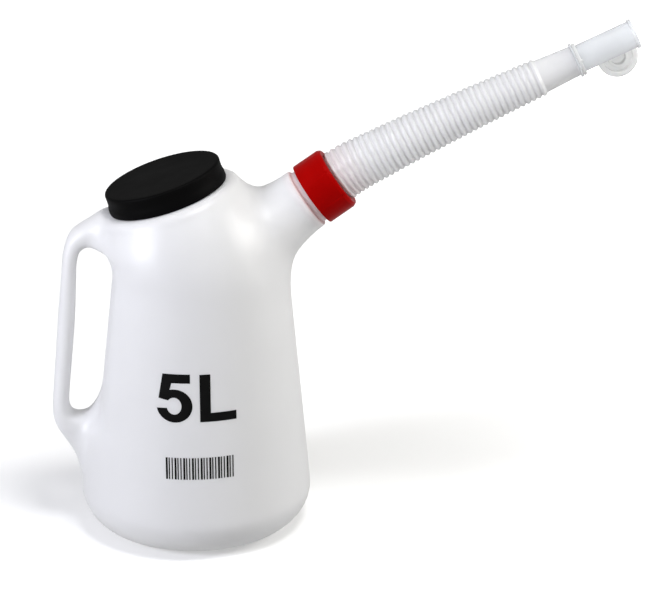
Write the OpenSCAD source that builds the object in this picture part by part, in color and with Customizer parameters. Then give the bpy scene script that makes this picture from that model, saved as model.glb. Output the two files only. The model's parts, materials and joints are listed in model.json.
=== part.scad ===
/* [Jug] */
// Diameter of the body where it is widest, just above the base
base_d = 190; // [170:1:210]
// Radius of the round corner between the base and the wall
base_corner_r = 32; // [16:1:40]
// Diameter of the tapered body where the shoulder begins
shoulder_d = 155; // [140:1:170]
// Height at which the shoulder begins
shoulder_z = 222; // [205:1:232]
// Wall of the blow-moulded body
wall = 2.2; // [1.4:0.1:3]
// Diameter of the shallow recess in the underside
recess_d = 96; // [60:1:100]
// Depth of that recess
recess_depth = 2; // [1:0.5:4]
// How far the wall behind the handle is set in
grip_recess = 12; // [6:0.5:14]

/* [Handle] */
// How far the outside of the grip stands out from the tapered wall
grip_out = 28.9; // [26:0.1:32]
// Thickness of the grip, from the hand's side to the outside
grip_t = 13.6; // [11:0.2:15]
// Width of the grip
grip_w = 28; // [22:0.5:34]
// Height of the lowest point of the finger gap
gap_low_z = 96; // [88:1:112]
// Height of the highest point of the finger gap
gap_high_z = 241; // [225:1:244]

/* [Filler] */
// Distance of the filler's seat from the body's axis, towards the handle
seat_offset = 18.3; // [12:0.1:22]
// Height of the middle of the filler's seat
seat_z = 283; // [276:0.5:292]
// Lean of the filler towards the handle
seat_tilt = 17.2; // [10:0.1:20]
// Diameter of the round shoulder that carries the filler
seat_d = 118; // [112:1:124]
// Radius of the round edge of that shoulder
seat_edge_r = 9; // [5:0.5:11]
// Outer diameter of the filler neck
filler_d = 88; // [76:0.5:89]
// Height of the filler neck above its seat
filler_h = 14.6; // [12:0.1:18]
// Height of the bead round the filler neck's mouth
bead_h = 3; // [2:0.5:4]
// How far the bead stands out
bead_out = 0.8; // [0.4:0.1:1.2]

/* [Lid] */
// Wall of the lid
lid_wall = 2.4; // [1.6:0.1:3]
// Radius of the lid's top edge
lid_edge_r = 2; // [1:0.5:3]
// Gap between the lid's skirt and the bead inside it
lid_gap = 0.4; // [0.3:0.05:0.8]
// Height of the flared lip at the lid's lower rim
lid_lip_h = 4; // [2:0.5:6]
// How far that lip stands out
lid_lip_out = 0.8; // [0.4:0.1:1.5]

/* [Spout neck] */
// Outer diameter of the spout neck, on the crests of its thread
neck_d = 46.5; // [42:0.5:47.5]
// Slope of the spout neck above the horizontal
neck_tilt = 35; // [30:0.5:40]
// How far the neck's shoulder lies beyond the body's top
neck_out = 16.1; // [14:0.1:20]
// How far the neck's shoulder lies below the middle of the filler's seat
neck_drop = 4.6; // [1:0.2:10]
// Diameter of the round shoulder at the root of the neck
neck_root_d = 52; // [50:0.5:54]
// Height of the flare that carries the neck
flare_h = 80; // [60:1:100]
// Length of the neck beyond its shoulder
neck_len = 24; // [20:0.5:28]
// Wall of the spout neck
neck_wall = 2.4; // [1.8:0.1:3]

/* [Union nut] */
// Wall of the nut's barrel
nut_wall = 3.2; // [2.4:0.1:4]
// How much narrower the nut is where its front edge begins
nut_draft = 1.6; // [0.4:0.1:3]
// Length of the nut
nut_len = 25.4; // [20:0.2:28]
// Thickness of the nut's inward lip
nut_lip = 3; // [2:0.1:4]
// Radius of the nut's front edge
nut_edge_r = 2.2; // [1:0.1:2.4]
// Radial gap between the neck's thread crests and the nut's wall
nut_gap = 0.5; // [0.35:0.05:0.8]
// Gap between the nut's lip and what turns against it
lip_gap = 0.3; // [0.3:0.05:0.6]

/* [Flexible spout] */
// Thickness of the flange that the nut clamps
flange_t = 2.4; // [1.6:0.1:3]
// Diameter over the first corrugation
hose_d_foot = 43.5; // [40:0.5:45]
// Diameter over the last corrugation
hose_d_end = 31; // [29:0.5:34]
// Wall of the hose
hose_wall = 1.2; // [0.9:0.1:1.5]
// Distance between two corrugations
pitch = 4.75; // [4.2:0.05:5.4]
// Depth of a corrugation
rib_depth = 1.8; // [1.2:0.1:2.4]
// Length of the smooth cuff at the far end
cuff_len = 30; // [28:0.5:40]
// Outer diameter of the cuff's mouth
cuff_d_end = 24.4; // [24.4:0.1:26]

/* [Nozzle] */
// Outer diameter of the nozzle tube
nozzle_d = 22.2; // [20:0.1:22.2]
// Wall of the nozzle tube
nozzle_wall = 2.6; // [1.4:0.1:3]
// Length of the nozzle beyond its stop collar
nozzle_len = 50.6; // [48:0.2:60]
// How deep the nozzle is pushed into the cuff
nozzle_in = 20; // [12:1:24]
// Outer diameter of the stop collar
collar_d = 28; // [27:0.2:32]
// Thickness of the stop collar
collar_t = 1.8; // [1:0.1:2.5]
// Outer diameter of the lip at the mouth
lip_d = 24.4; // [23.6:0.1:26]
// Thickness of that lip
lip_t = 3; // [1.6:0.1:4]

/* [Closing cap] */
// Width of the tether ring along the nozzle
ring_w = 2.8; // [1.8:0.1:4]
// Wall of the tether ring
ring_wall = 2; // [1.4:0.1:3]
// Radial gap between the tether ring and the nozzle
ring_gap = 0.08; // [0.03:0.01:0.1]
// Distance of the cap's middle from the collar, along the nozzle
cap_along = 29.5; // [26:0.5:34]
// How far the cap hangs below the nozzle's axis
cap_drop = 16.3; // [14:0.1:20]
// Gap between the cap's groove and the nozzle's lip when it is closed
cap_gap = 0.3; // [0.1:0.05:0.6]
// Thickness of the cap's rim
cap_rim_w = 4.3; // [2:0.1:5]
// Height of the cap's rim
cap_rim_h = 4.6; // [3:0.1:6]
// Thickness of the cap's floor
cap_floor = 1.4; // [1:0.1:2]
// Height of the plug ring above the cap's floor
plug_h = 5.6; // [3:0.1:6]
// Wall of the plug ring
plug_wall = 2.2; // [1:0.1:3]
// Width of the strap
strap_w = 6; // [4:0.5:8]
// Thickness of the strap
strap_t = 1.2; // [0.8:0.1:2]
// Gap between the hanging cap and the nozzle
cap_clear = 0.5; // [0.4:0.1:1]

/* [Hidden] */

// Points round each ring of the body, the neck and the handle
body_sides = 48;
neck_sides = 32;
handle_sides = 16;
// Softness of the flat behind the handle, where it meets the round wall
flat_blend = 8;
// Corrugations, the crests at which the hose bends, and its turn at each of them
rib_count = 38;
bend_ribs = [1, 2, 3, 4, 14, 26];
bends = [2.4, 2.4, 2.2, 1.2, 1.2, 0.8];

function ease(u) = let(t = min(max(u, 0), 1)) t * t * (3 - 2 * t);
function mix(a, b, u) = a + (b - a) * u;
function dir(tilt) = [cos(tilt), sin(tilt)];
// The larger of a and b, rounded over where they are close
function soft_max(a, b, k) = (a + b + sqrt((a - b) ^ 2 + k ^ 2)) / 2;

// Outer radius of the tapered wall at height z
function wall_r(z) =
    base_d / 2 - (base_d - shoulder_d) / 2 * (z - base_corner_r) / (shoulder_z - base_corner_r);
// How much of the flat behind the handle there is at height z, and where it lies
function flat_share(z) = ease((z - gap_low_z + 20) / 40);
function flat_depth(z) = grip_recess * mix(0.75, 1.05, (z - gap_low_z) / (gap_high_z - gap_low_z));
function flat_x(z, share) = -(wall_r(z) + flat_blend) + (flat_blend + flat_depth(z)) * share;

// One ring of the body: radius r about [x, z], leaning by tilt, with its handle side set in
function body_ring(r, x, z, tilt = 0, share = 0, limit = 0) = [
    for (i = [0 : body_sides - 1])
        let(a = 360 * i / body_sides,
            p = share > 0
                ? soft_max(r * cos(a), (limit - x) / cos(tilt), flat_blend * share)
                : r * cos(a))
        [x + p * cos(tilt), r * sin(a), z + p * sin(tilt)]
];

// The body's skin lies inset from the outside: 0 outside, wall inside
function corner_rings(inset) = [
    for (a = [0, 18, 36, 54, 72])
        body_ring(base_d / 2 - base_corner_r + (base_corner_r - inset) * sin(a), 0,
                  base_corner_r - (base_corner_r - inset) * cos(a))
];
wall_steps = 9;
function wall_rings(inset) = [
    for (i = [0 : wall_steps - 1])
        let(z = mix(base_corner_r, shoulder_z, i / wall_steps), share = flat_share(z))
        body_ring(wall_r(z) - inset, 0, z, 0, share, flat_x(z, share) + inset)
];
// The shoulder closes in and leans over to the filler's seat
shoulder_steps = 7;
edge_x = -seat_offset + seat_edge_r * sin(seat_tilt);
edge_z = seat_z - seat_edge_r * cos(seat_tilt);
function shoulder_rings(inset) = [
    for (i = [0 : shoulder_steps])
        let(u = i / shoulder_steps,
            r = mix(shoulder_d / 2, seat_d / 2, 0.26 * u + 0.74 * u ^ 2.4),
            x = edge_x * u ^ 1.3,
            share = 1 - ease((u - 0.2) / 0.6))
        body_ring(r - inset, x, mix(shoulder_z, edge_z, u), seat_tilt * u, share,
                  mix(x - r - flat_blend, flat_x(shoulder_z, 1), share) + inset)
];
// The round edge of the seat
function edge_rings(inset) = [
    for (a = [30, 60, 90])
        let(rise = (seat_edge_r - inset) * sin(a))
        body_ring(seat_d / 2 - seat_edge_r + (seat_edge_r - inset) * cos(a),
                  edge_x - rise * sin(seat_tilt), edge_z + rise * cos(seat_tilt), seat_tilt)
];
// Inside, the floor rises over the recess
floor_rings = [
    body_ring(recess_d / 2 - 1, 0, recess_depth + wall),
    body_ring(recess_d / 2 + 1, 0, recess_depth + wall - 0.2)
];

// A closed skin through rings that all have the same number of points
module skin(rings) {
    n = len(rings[0]);
    last = (len(rings) - 1) * n;
    polyhedron(
        points = [for (ring = rings) each ring],
        faces = concat(
            [[for (i = [0 : n - 1]) i]],
            [for (j = [0 : len(rings) - 2], i = [0 : n - 1])
                [j * n + i, (j + 1) * n + i, (j + 1) * n + (i + 1) % n, j * n + (i + 1) % n]],
            [[for (i = [n - 1 : -1 : 0]) last + i]]),
        convexity = 6);
}
module body_skin(inset) {
    skin(concat(inset > 0 ? floor_rings : [], corner_rings(inset), wall_rings(inset),
                shoulder_rings(inset), edge_rings(inset)));
}

// One ring between the points p and q, w wide; a bulge of 2 is an ellipse, more is squarer
function edge_ring(p, q, w, inset, sides, bulge) =
    let(d = q - p, long = norm(d), e = d / long, c = (p + q) / 2)
    [for (i = [0 : sides - 1])
        let(a = 360 * i / sides,
            s = sign(cos(a)) * abs(cos(a)) ^ (2 / bulge) * (long / 2 - inset),
            y = sign(sin(a)) * abs(sin(a)) ^ (2 / bulge) * (w / 2 - inset))
        [c[0] + e[0] * s, y, c[1] + e[1] * s]];
function bezier(p, u) =
    p[0] * (1 - u) ^ 3 + p[1] * 3 * u * (1 - u) ^ 2 + p[2] * 3 * u ^ 2 * (1 - u) + p[3] * u ^ 3;
// A point on a smooth curve through all stations
function through(stations, u) =
    let(n = len(stations) - 1, i = min(floor(u), n - 1), t = u - i,
        a = stations[max(i - 1, 0)], b = stations[i],
        c = stations[i + 1], d = stations[min(i + 2, n)])
    b + (c - a) * (t / 2) + (a * 2 - b * 5 + c * 4 - d) * (t ^ 2 / 2)
        + (b * 3 - a - c * 3 + d) * (t ^ 3 / 2);

// The spout neck's axis, and the two edges and the width of the flare that carries it
neck_dir = dir(neck_tilt);
neck_up = [-sin(neck_tilt), cos(neck_tilt)];
neck_z = seat_z - neck_drop;
neck_root = [shoulder_d / 2 + neck_out, neck_z];
flare_z = neck_z - flare_h;
low_end = neck_root - neck_dir * 5 - neck_up * neck_root_d / 2;
high_end = neck_root - neck_dir * 5 + neck_up * neck_root_d / 2;
flare_low = [[wall_r(flare_z) - 2, flare_z], [wall_r(flare_z) - 1, flare_z + 30],
             low_end - dir(neck_tilt + 9) * 21, low_end];
flare_high = [high_end - [46, 14], high_end - [29, 17], high_end - neck_dir * 15, high_end];
flare_w = [88, 84, 55, neck_root_d];
flare_steps = 9;
// Beyond the flare its end is rounded over to the neck: length along the neck and radius
flare_ends = [[-1.8, neck_root_d / 2 - 0.4], [0, neck_root_d / 2 - 1.6]];
module neck_flare(inset) {
    skin(concat(
        [for (i = [0 : flare_steps])
            let(u = i / flare_steps)
            edge_ring(bezier(flare_high, u), bezier(flare_low, u), bezier(flare_w, u), inset,
                      neck_sides, 2)],
        [for (e = flare_ends)
            let(c = neck_root + neck_dir * (e[0] - inset / 2))
            edge_ring(c + neck_up * e[1], c - neck_up * e[1], 2 * e[1], inset, neck_sides, 2)]));
}
// Children stand on the neck's axis, with z along it and 0 at the neck's shoulder
module on_neck() {
    translate([neck_root[0], 0, neck_root[1]]) rotate([0, 90 - neck_tilt, 0]) children();
}
// Children stand on the filler's seat, with z along the filler
module on_seat() {
    translate([-seat_offset, 0, seat_z]) rotate([0, -seat_tilt, 0]) children();
}

// The handle's stations from the shoulder down to the lower root: how far the outside stands out
// from the tapered wall and at what height, the same for the hand's side, and the width
top = gap_high_z;
low = gap_low_z;
hand = grip_out - grip_t;
handle_plan = [
    [-25, top + 29, -30, top - 30, grip_w + 6],
    [-11.4, top + 27, -15, top - 14, grip_w + 4],
    [-2.3, top + 27.5, -7, top - 5, grip_w + 3],
    [3.5, top + 25.5, 0.7, top - 0.5, grip_w + 2],
    [14, top + 19.5, 8.2, top + 0.5, grip_w + 1],
    [grip_out - 5.3, top + 11, hand - 1, top - 4, grip_w],
    [grip_out - 1, top - 4, hand + 1, top - 15, grip_w],
    [grip_out - 0.5, top - 23, hand + 0.6, top - 30, grip_w],
    [grip_out, top - 60, hand - 0.3, top - 62, grip_w],
    [grip_out, low + 45, hand, low + 45, grip_w],
    [grip_out, low + 12, hand + 0.4, low + 16, grip_w],
    [grip_out - 1, low, hand - 1, low + 5, grip_w],
    [grip_out - 5, low - 10.5, 10.4, low + 0.5, grip_w + 1],
    [16, low - 22, 4.9, low, grip_w + 1],
    [7.2, low - 35, -2, low + 2, grip_w + 2],
    [-1.7, low - 50, -9, low + 9, grip_w + 3],
    [-10.3, low - 56, -18, low + 18, grip_w + 4]
];
handle_stations = [
    for (s = handle_plan) [[-wall_r(s[1]) - s[0], s[1]], [-wall_r(s[3]) - s[2], s[3]], s[4]]
];
handle_cuts = 2;
module handle_skin(inset) {
    skin([for (i = [0 : handle_cuts * (len(handle_stations) - 1)])
        let(s = through(handle_stations, i / handle_cuts))
        edge_ring(s[1], s[0], s[2], inset, handle_sides, 2.6)]);
}

module filler_neck() {
    translate([0, 0, -0.5]) cylinder(d = filler_d, h = filler_h + 0.5, $fn = 96);
    translate([0, 0, filler_h - bead_h])
        cylinder(d = filler_d + 2 * bead_out, h = bead_h, $fn = 96);
}
module jug_body() {
    color([0.92, 0.92, 0.93])
    difference() {
        union() {
            body_skin(0);
            neck_flare(0);
            handle_skin(0);
            on_seat() filler_neck();
            on_neck() translate([0, 0, -2]) cylinder(d = neck_d, h = neck_len + 2, $fn = 96);
        }
        body_skin(wall);
        neck_flare(wall);
        handle_skin(wall);
        on_seat() translate([0, 0, -wall - 2])
            cylinder(d = filler_d - 2 * wall, h = filler_h + wall + 4, $fn = 96);
        on_neck() translate([0, 0, -4])
            cylinder(d = neck_d - 2 * neck_wall, h = neck_len + 6, $fn = 96);
        translate([0, 0, -1])
            cylinder(d1 = recess_d + 4, d2 = recess_d, h = recess_depth + 1, $fn = 96);
    }
}

// The lid's inside lies on the filler's mouth, and its rim ends just above the seat
lid_r = filler_d / 2 + bead_out + lid_gap + lid_wall;
lid_top = filler_h + lid_wall;
lid_low = lip_gap;
lid_profile = concat(
    [[0, lid_top]],
    [for (a = [90 : -18 : 0])
        [lid_r - lid_edge_r + lid_edge_r * cos(a), lid_top - lid_edge_r + lid_edge_r * sin(a)]],
    [[lid_r, lid_low + lid_lip_h + 2], [lid_r + lid_lip_out, lid_low + lid_lip_h - 1],
     [lid_r + lid_lip_out, lid_low + 0.6], [lid_r + lid_lip_out - 0.6, lid_low],
     [lid_r - lid_wall + 0.5, lid_low], [lid_r - lid_wall, lid_low + 0.5],
     [lid_r - lid_wall, filler_h], [0, filler_h]]);
module filler_lid() {
    color([0.08, 0.08, 0.08]) on_seat() rotate_extrude($fn = 96) polygon(lid_profile);
}

// The nut's lip holds the spout's flange down on the neck's mouth
nut_bore = neck_d + 2 * nut_gap;
nut_r = nut_bore / 2 + nut_wall;
lip_low = neck_len + flange_t + lip_gap;
nut_top = lip_low + nut_lip;
nut_low = nut_top - nut_len;
foot_r = hose_d_foot / 2 - rib_depth;
nut_hole_r = foot_r + nut_gap;
nut_profile = concat(
    [[nut_bore / 2, nut_low], [nut_r - 0.4, nut_low], [nut_r, nut_low + 0.4]],
    [for (a = [0 : 18 : 90])
        [nut_r - nut_draft / 2 - nut_edge_r + nut_edge_r * cos(a),
         nut_top - nut_edge_r + nut_edge_r * sin(a)]],
    [[nut_hole_r + 0.5, nut_top], [nut_hole_r, nut_top - 0.5], [nut_hole_r, lip_low],
     [nut_bore / 2, lip_low]]);
module spout_nut() {
    color([0.72, 0.02, 0.02]) on_neck() rotate_extrude($fn = 96) polygon(nut_profile);
}

// Corrugation n has its crest n pitches along the hose; the hose is straight between two bends,
// and each bend lies in the middle of a crest
function crest_r(n) = mix(hose_d_foot, hose_d_end, n / (rib_count - 1)) / 2;
function valley_r(n) = crest_r(n) - rib_depth;
first_crest = nut_top + 0.6 * pitch;
function hose_tilt(i) = i == 0 ? neck_tilt : hose_tilt(i - 1) - bends[i - 1];
function from_rib(i) = i == 0 ? 0 : bend_ribs[i - 1];
function bend_at(i) = i == 0
    ? neck_root + neck_dir * first_crest
    : bend_at(i - 1) + dir(hose_tilt(i - 1)) * pitch * (from_rib(i) - from_rib(i - 1));
last_run = len(bends);
// A run ends short of its bend, inside the solid bead that the bend turns in
bend_play = 0.5;
// The outside of one corrugation, as [radius, length] from its run's start
function rib_outside(n, z) = [
    [valley_r(n - 0.5), z - 0.38 * pitch], [crest_r(n), z - 0.2 * pitch],
    [crest_r(n), z + 0.2 * pitch], [valley_r(n + 0.5), z + 0.38 * pitch]
];
function rib_inside(n, z) = [
    [valley_r(n + 0.5) - hose_wall, z + 0.5 * pitch], [crest_r(n) - hose_wall - 0.2, z],
    [valley_r(n - 0.5) - hose_wall, z - 0.5 * pitch]
];
// The wall of run i, from one bend to the next
function run_profile(i) =
    let(n0 = from_rib(i), count = from_rib(i + 1) - n0, end = count * pitch - bend_play)
    concat(
        [[valley_r(n0 + 0.5), bend_play]],
        [for (k = [1 : 1 : count - 1]) each rib_outside(n0 + k, k * pitch)],
        [[valley_r(n0 + count - 0.5), end], [valley_r(n0 + count - 0.5) - hose_wall, end]],
        [for (k = [count - 1 : -1 : 1]) each rib_inside(n0 + k, k * pitch)],
        [[valley_r(n0 + 0.5) - hose_wall, bend_play]]);
// The foot: the flange, then the plain tube through the nut, and the first corrugation
foot_profile = let(z0 = neck_len - first_crest, end = pitch - bend_play)
    concat(
        [[neck_d / 2 - neck_wall, z0], [neck_d / 2, z0], [neck_d / 2, z0 + flange_t],
         [foot_r, z0 + flange_t], [foot_r, -0.38 * pitch]],
        [for (p = rib_outside(0, 0)) if (p[1] > -0.3 * pitch) p],
        [[valley_r(0.5), end], [valley_r(0.5) - hose_wall, end],
         [valley_r(0.5) - hose_wall, 0.5 * pitch], [crest_r(0) - hose_wall - 0.2, 0],
         [foot_r - hose_wall, -0.5 * pitch], [foot_r - hose_wall, z0 + flange_t + 1]]);
// The last run, which goes over into the smooth cuff
last_profile =
    let(n0 = from_rib(last_run), count = rib_count - 1 - n0, z1 = (count + 0.5) * pitch,
        r1 = valley_r(rib_count - 0.5), bore = nozzle_d / 2 + ring_gap, stop = z1 + cuff_len)
    concat(
        [[valley_r(n0 + 0.5), bend_play]],
        [for (k = [1 : count]) each rib_outside(n0 + k, k * pitch)],
        [[r1, z1], [r1 - 0.25, z1 + 3], [cuff_d_end / 2, stop], [bore, stop],
         [bore, stop - nozzle_in - 0.5], [r1 - hose_wall, z1]],
        [for (k = [count : -1 : 1]) each rib_inside(n0 + k, k * pitch)],
        [[valley_r(n0 + 0.5) - hose_wall, bend_play]]);
// The bead at the crest of a bend
function bead_profile(n) =
    let(outer = crest_r(n), mid = valley_r(n) - hose_wall / 2, inner = valley_r(n) - hose_wall - 0.5)
    [[inner, -1.1], [mid, -1.1], [mid, -0.4 * pitch], [outer, -0.2 * pitch], [outer, 0.2 * pitch],
     [mid, 0.4 * pitch], [mid, 1.1], [inner, 1.1]];
module on_hose(i, turn = 0) {
    translate([bend_at(i)[0], 0, bend_at(i)[1]])
        rotate([0, 90 - hose_tilt(i) - turn, 0]) children();
}
module flexible_spout() {
    color([0.85, 0.86, 0.9]) {
        on_neck() translate([0, 0, first_crest]) rotate_extrude($fn = 72) polygon(foot_profile);
        for (i = [1 : last_run - 1]) on_hose(i) rotate_extrude($fn = 72) polygon(run_profile(i));
        on_hose(last_run) rotate_extrude($fn = 72) polygon(last_profile);
        for (i = [1 : last_run])
            on_hose(i, bends[i - 1] / 2) rotate_extrude($fn = 72) polygon(bead_profile(from_rib(i)));
    }
}

// The cuff's mouth, where the nozzle's collar lies against it
cuff_end = (rib_count - 0.5 - from_rib(last_run)) * pitch + cuff_len;
module on_cuff() {
    on_hose(last_run) translate([0, 0, cuff_end]) children();
}
nozzle_r = nozzle_d / 2;
nozzle_bore_r = nozzle_r - nozzle_wall;
nozzle_profile = [
    [nozzle_bore_r, -nozzle_in], [nozzle_r - 0.6, -nozzle_in], [nozzle_r, -nozzle_in + 1.2],
    [nozzle_r, 0], [collar_d / 2, 0], [collar_d / 2, collar_t], [nozzle_r, collar_t],
    [nozzle_r, collar_t + nozzle_len - lip_t], [lip_d / 2 - 0.3, collar_t + nozzle_len - lip_t],
    [lip_d / 2, collar_t + nozzle_len - lip_t + 0.4], [lip_d / 2, collar_t + nozzle_len - 0.4],
    [lip_d / 2 - 0.4, collar_t + nozzle_len], [nozzle_bore_r, collar_t + nozzle_len]
];
module nozzle() {
    color([0.75, 0.8, 0.9]) on_cuff() rotate_extrude($fn = 72) polygon(nozzle_profile);
}

// The closing cap hangs open behind the nozzle; y runs away from it and x along its strap
plug_r = nozzle_bore_r - cap_gap;
groove_r = lip_d / 2 + cap_gap;
cap_r = groove_r + cap_rim_w;
cap_low = nozzle_r + cap_clear;
cap_top = cap_low + cap_rim_h + cap_floor;
cap_profile = [
    [0, cap_top], [cap_r - 0.8, cap_top], [cap_r, cap_top - 0.8], [cap_r, cap_low + 0.6],
    [cap_r - 0.6, cap_low], [groove_r, cap_low], [groove_r, cap_top - cap_floor],
    [plug_r, cap_top - cap_floor], [plug_r, cap_top - cap_floor - plug_h + 0.6],
    [plug_r - 0.6, cap_top - cap_floor - plug_h], [plug_r - plug_wall, cap_top - cap_floor - plug_h],
    [plug_r - plug_wall, cap_top - cap_floor], [0, cap_top - cap_floor]
];
ring_r = nozzle_r + ring_gap;
ring_mid = collar_t + ring_gap + ring_w / 2;
strap_len = norm([cap_along, cap_drop]);
strap_y = cap_low + 1;
module closing_cap() {
    color([0.9, 0.92, 0.95]) on_cuff() {
        translate([0, 0, ring_mid - ring_w / 2]) difference() {
            cylinder(r = ring_r + ring_wall, h = ring_w, $fn = 72);
            translate([0, 0, -1]) cylinder(r = ring_r, h = ring_w + 2, $fn = 72);
        }
        translate([cap_drop, 0, ring_mid + cap_along]) rotate([-90, 0, 0])
            rotate_extrude($fn = 72) polygon(cap_profile);
        translate([0, strap_y, ring_mid]) rotate([-90, -90 + atan2(cap_drop, cap_along), 0])
            translate([0, -strap_w / 2, 0])
            cube([strap_len - groove_r - cap_rim_w / 2, strap_w, strap_t]);
    }
}

jug_body();
filler_lid();
spout_nut();
flexible_spout();
nozzle();
closing_cap();
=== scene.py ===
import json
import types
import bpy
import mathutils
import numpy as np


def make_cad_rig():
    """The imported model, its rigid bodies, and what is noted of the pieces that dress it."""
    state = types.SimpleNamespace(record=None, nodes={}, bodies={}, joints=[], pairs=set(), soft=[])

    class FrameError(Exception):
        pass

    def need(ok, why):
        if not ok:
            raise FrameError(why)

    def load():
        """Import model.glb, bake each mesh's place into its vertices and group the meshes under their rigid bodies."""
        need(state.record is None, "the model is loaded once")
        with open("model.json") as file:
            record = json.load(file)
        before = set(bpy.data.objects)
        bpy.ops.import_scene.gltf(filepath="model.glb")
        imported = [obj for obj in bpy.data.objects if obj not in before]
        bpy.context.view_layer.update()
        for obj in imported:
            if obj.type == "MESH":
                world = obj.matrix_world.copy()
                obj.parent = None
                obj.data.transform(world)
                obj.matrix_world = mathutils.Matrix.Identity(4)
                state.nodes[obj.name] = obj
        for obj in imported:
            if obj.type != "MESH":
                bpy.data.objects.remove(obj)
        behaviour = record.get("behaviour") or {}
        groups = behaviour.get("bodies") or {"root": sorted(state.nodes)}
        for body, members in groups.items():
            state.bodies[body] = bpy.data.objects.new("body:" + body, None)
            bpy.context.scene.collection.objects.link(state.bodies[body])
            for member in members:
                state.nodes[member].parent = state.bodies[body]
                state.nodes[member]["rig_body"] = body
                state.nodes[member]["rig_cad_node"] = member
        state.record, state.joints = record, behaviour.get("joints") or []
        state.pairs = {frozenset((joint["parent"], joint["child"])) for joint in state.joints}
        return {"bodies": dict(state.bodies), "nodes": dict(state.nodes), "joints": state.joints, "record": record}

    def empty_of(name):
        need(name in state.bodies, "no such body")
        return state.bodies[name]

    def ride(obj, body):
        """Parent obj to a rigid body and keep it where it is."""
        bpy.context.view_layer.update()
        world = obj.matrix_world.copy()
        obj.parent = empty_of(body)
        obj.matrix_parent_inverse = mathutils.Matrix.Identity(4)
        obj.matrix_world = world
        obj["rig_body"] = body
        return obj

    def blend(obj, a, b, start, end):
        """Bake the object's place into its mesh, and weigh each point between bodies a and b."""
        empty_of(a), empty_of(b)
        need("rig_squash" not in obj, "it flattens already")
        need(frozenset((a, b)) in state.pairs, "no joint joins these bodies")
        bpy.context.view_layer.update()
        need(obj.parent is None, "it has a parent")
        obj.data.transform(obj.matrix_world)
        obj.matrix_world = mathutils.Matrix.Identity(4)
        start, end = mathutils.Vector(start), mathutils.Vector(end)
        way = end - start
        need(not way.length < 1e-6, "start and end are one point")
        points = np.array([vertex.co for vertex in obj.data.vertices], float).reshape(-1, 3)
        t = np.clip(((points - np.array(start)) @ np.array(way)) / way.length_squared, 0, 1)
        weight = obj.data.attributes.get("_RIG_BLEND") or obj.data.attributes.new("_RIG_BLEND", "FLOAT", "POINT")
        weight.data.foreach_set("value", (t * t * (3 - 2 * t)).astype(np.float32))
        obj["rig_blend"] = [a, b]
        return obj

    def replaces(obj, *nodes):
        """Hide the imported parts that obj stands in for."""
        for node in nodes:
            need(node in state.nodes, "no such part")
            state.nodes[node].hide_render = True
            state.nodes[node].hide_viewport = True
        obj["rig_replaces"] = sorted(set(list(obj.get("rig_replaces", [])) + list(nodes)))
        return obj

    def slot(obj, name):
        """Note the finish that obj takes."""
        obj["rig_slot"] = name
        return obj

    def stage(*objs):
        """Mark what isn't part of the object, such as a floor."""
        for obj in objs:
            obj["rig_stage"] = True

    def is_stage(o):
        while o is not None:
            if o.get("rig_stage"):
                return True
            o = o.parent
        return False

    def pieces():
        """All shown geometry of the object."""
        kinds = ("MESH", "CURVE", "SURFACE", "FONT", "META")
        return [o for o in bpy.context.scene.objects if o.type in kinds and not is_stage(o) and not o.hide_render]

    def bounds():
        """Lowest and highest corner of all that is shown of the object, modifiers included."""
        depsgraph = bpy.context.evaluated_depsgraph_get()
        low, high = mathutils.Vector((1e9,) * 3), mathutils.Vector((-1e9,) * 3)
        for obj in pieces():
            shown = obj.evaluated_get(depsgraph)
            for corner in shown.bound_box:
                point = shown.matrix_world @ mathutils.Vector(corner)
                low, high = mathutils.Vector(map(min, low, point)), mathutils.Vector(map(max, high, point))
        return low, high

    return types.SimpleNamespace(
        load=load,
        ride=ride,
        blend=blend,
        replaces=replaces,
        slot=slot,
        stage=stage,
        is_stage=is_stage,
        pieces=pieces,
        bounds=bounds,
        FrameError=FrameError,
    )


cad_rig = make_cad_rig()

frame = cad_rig.load()
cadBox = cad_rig.bounds()

import json
import math

import bmesh
import bpy
import numpy as np
from mathutils import Matrix, Vector
from mathutils.bvhtree import BVHTree

mm = 0.001
scene = bpy.context.scene
scene.view_settings.view_transform = "Standard"

camera = {
    "place": (-0.0071, -2.0033, 0.9345),
    "tiltDeg": 69.644,
    "yawDeg": -3.5,
    "lensMm": 140.81,
    "sensorMm": 36,
}


def makeCamera():
    lens = bpy.data.cameras.new("camera")
    lens.sensor_width = camera["sensorMm"]
    lens.lens = camera["lensMm"]
    lens.dof.use_dof = False
    rig = bpy.data.objects.new("camera", lens)
    rig.location = camera["place"]
    rig.rotation_euler = (math.radians(camera["tiltDeg"]), 0, math.radians(camera["yawDeg"]))
    scene.collection.objects.link(rig)
    scene.camera = rig


makeCamera()
print("camera: at the photograph's angle")


# ways of making meshes that all the pieces share

def addPiece(name, points, faces, material, smoothDeg=40):
    mesh = bpy.data.meshes.new(name)
    mesh.from_pydata([tuple(p) for p in points], [], [tuple(f) for f in faces])
    return finishPiece(name, mesh, material, smoothDeg)


def finishPiece(name, mesh, material, smoothDeg=40):
    mesh.validate()
    mesh.polygons.foreach_set("use_smooth", [True] * len(mesh.polygons))
    mesh.set_sharp_from_angle(angle=math.radians(smoothDeg))
    mesh.materials.clear()
    mesh.materials.append(material)
    piece = bpy.data.objects.new(name, mesh)
    scene.collection.objects.link(piece)
    return piece


def finished(name, piece, material, smoothDeg):
    # the mesh of a piece under a new name, with its finish and sharp edges set again
    mesh = piece.data
    bpy.data.objects.remove(piece)
    return finishPiece(name, mesh, material, smoothDeg)


def evaluatedMesh(piece):
    bpy.context.view_layer.update()
    graph = bpy.context.evaluated_depsgraph_get()
    return bpy.data.meshes.new_from_object(piece.evaluated_get(graph))


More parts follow.
